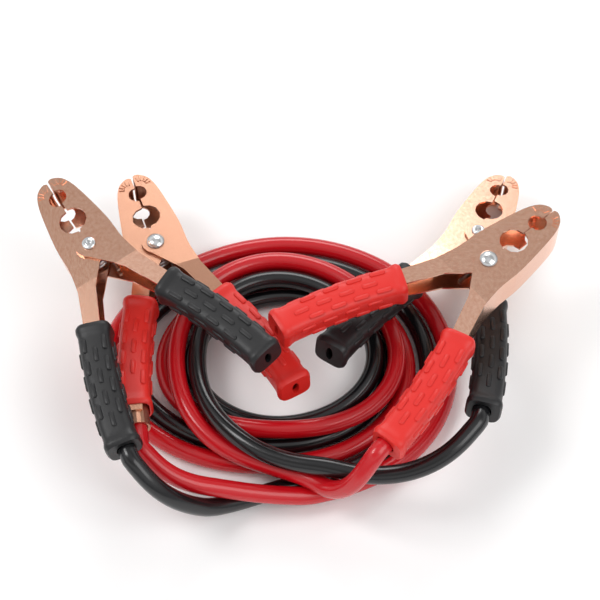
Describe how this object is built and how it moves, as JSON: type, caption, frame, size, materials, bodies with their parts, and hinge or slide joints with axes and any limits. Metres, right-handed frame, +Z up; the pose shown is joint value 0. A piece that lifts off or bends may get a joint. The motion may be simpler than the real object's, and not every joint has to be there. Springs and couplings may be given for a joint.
{
  "type": "car jumper cable",
  "caption": "Coiled booster cables for linking a flat car battery to a charged one, with sprung copper-plated clamps in insulating grips.",
  "frame": {"origin": "middle of the clamps' outline on the floor, below the coil's inner space", "axes": "+X toward the right-hand clamps, +Y toward the jaws of the rear clamps, +Z up from the floor"},
  "size_m": [0.2697, 0.2051, 0.0747],
  "materials": {
    "copper_plate": "polished copper plating",
    "nickel": "nickel plating",
    "spring_steel": "plated wire",
    "red_grip": "satin",
    "black_grip": "satin",
    "red_sheath": "glossy",
    "black_sheath": "glossy"
  },
  "bodies": {
    "coil_and_cable_halves": {"red_cable": "red_sheath", "black_cable": "black_sheath", "front_left_cable_half": "copper_plate", "front_left_rivet": "nickel", "front_left_spring": "spring_steel", "front_left_cable_grip": "black_grip", "rear_left_cable_half": "copper_plate", "rear_left_rivet": "nickel", "rear_left_spring": "spring_steel", "rear_left_cable_grip": "red_grip", "front_right_cable_half": "copper_plate", "front_right_rivet": "nickel", "front_right_spring": "spring_steel", "front_right_cable_grip": "red_grip", "rear_right_cable_half": "copper_plate", "rear_right_rivet": "nickel", "rear_right_spring": "spring_steel", "rear_right_cable_grip": "black_grip"},
    "front_left_free": {"front_left_free_half": "copper_plate", "front_left_free_grip": "black_grip"},
    "rear_left_free": {"rear_left_free_half": "copper_plate", "rear_left_free_grip": "red_grip"},
    "front_right_free": {"front_right_free_half": "copper_plate", "front_right_free_grip": "red_grip"},
    "rear_right_free": {"rear_right_free_half": "copper_plate", "rear_right_free_grip": "black_grip"}
  },
  "joints": [
    {"name": "front_left_pivot", "type": "hinge", "parent": "coil_and_cable_halves", "child": "front_left_free", "pos_m": [-0.1047, 0.0221, 0.055], "axis": [0.1557, 0.0458, -0.9867], "range_deg": [0, 25], "stiffness_Nm_per_rad": 1.5, "springref_deg": -34.38},
    {"name": "rear_left_pivot", "type": "hinge", "parent": "coil_and_cable_halves", "child": "rear_left_free", "pos_m": [-0.074, 0.0384, 0.0288], "axis": [0.0281, -0.0825, -0.9962], "range_deg": [0, 25], "stiffness_Nm_per_rad": 1.5, "springref_deg": -34.38},
    {"name": "front_right_pivot", "type": "hinge", "parent": "coil_and_cable_halves", "child": "front_right_free", "pos_m": [0.097, 0.0108, 0.058], "axis": [0.0113, -0.0133, 0.9998], "range_deg": [0, 25], "stiffness_Nm_per_rad": 1.5, "springref_deg": -34.38},
    {"name": "rear_right_pivot", "type": "hinge", "parent": "coil_and_cable_halves", "child": "rear_right_free", "pos_m": [0.0955, 0.05, 0.01882], "axis": [0.0772, 0.1801, 0.9806], "range_deg": [0, 25], "stiffness_Nm_per_rad": 1.5, "springref_deg": -34.38}
  ]
}
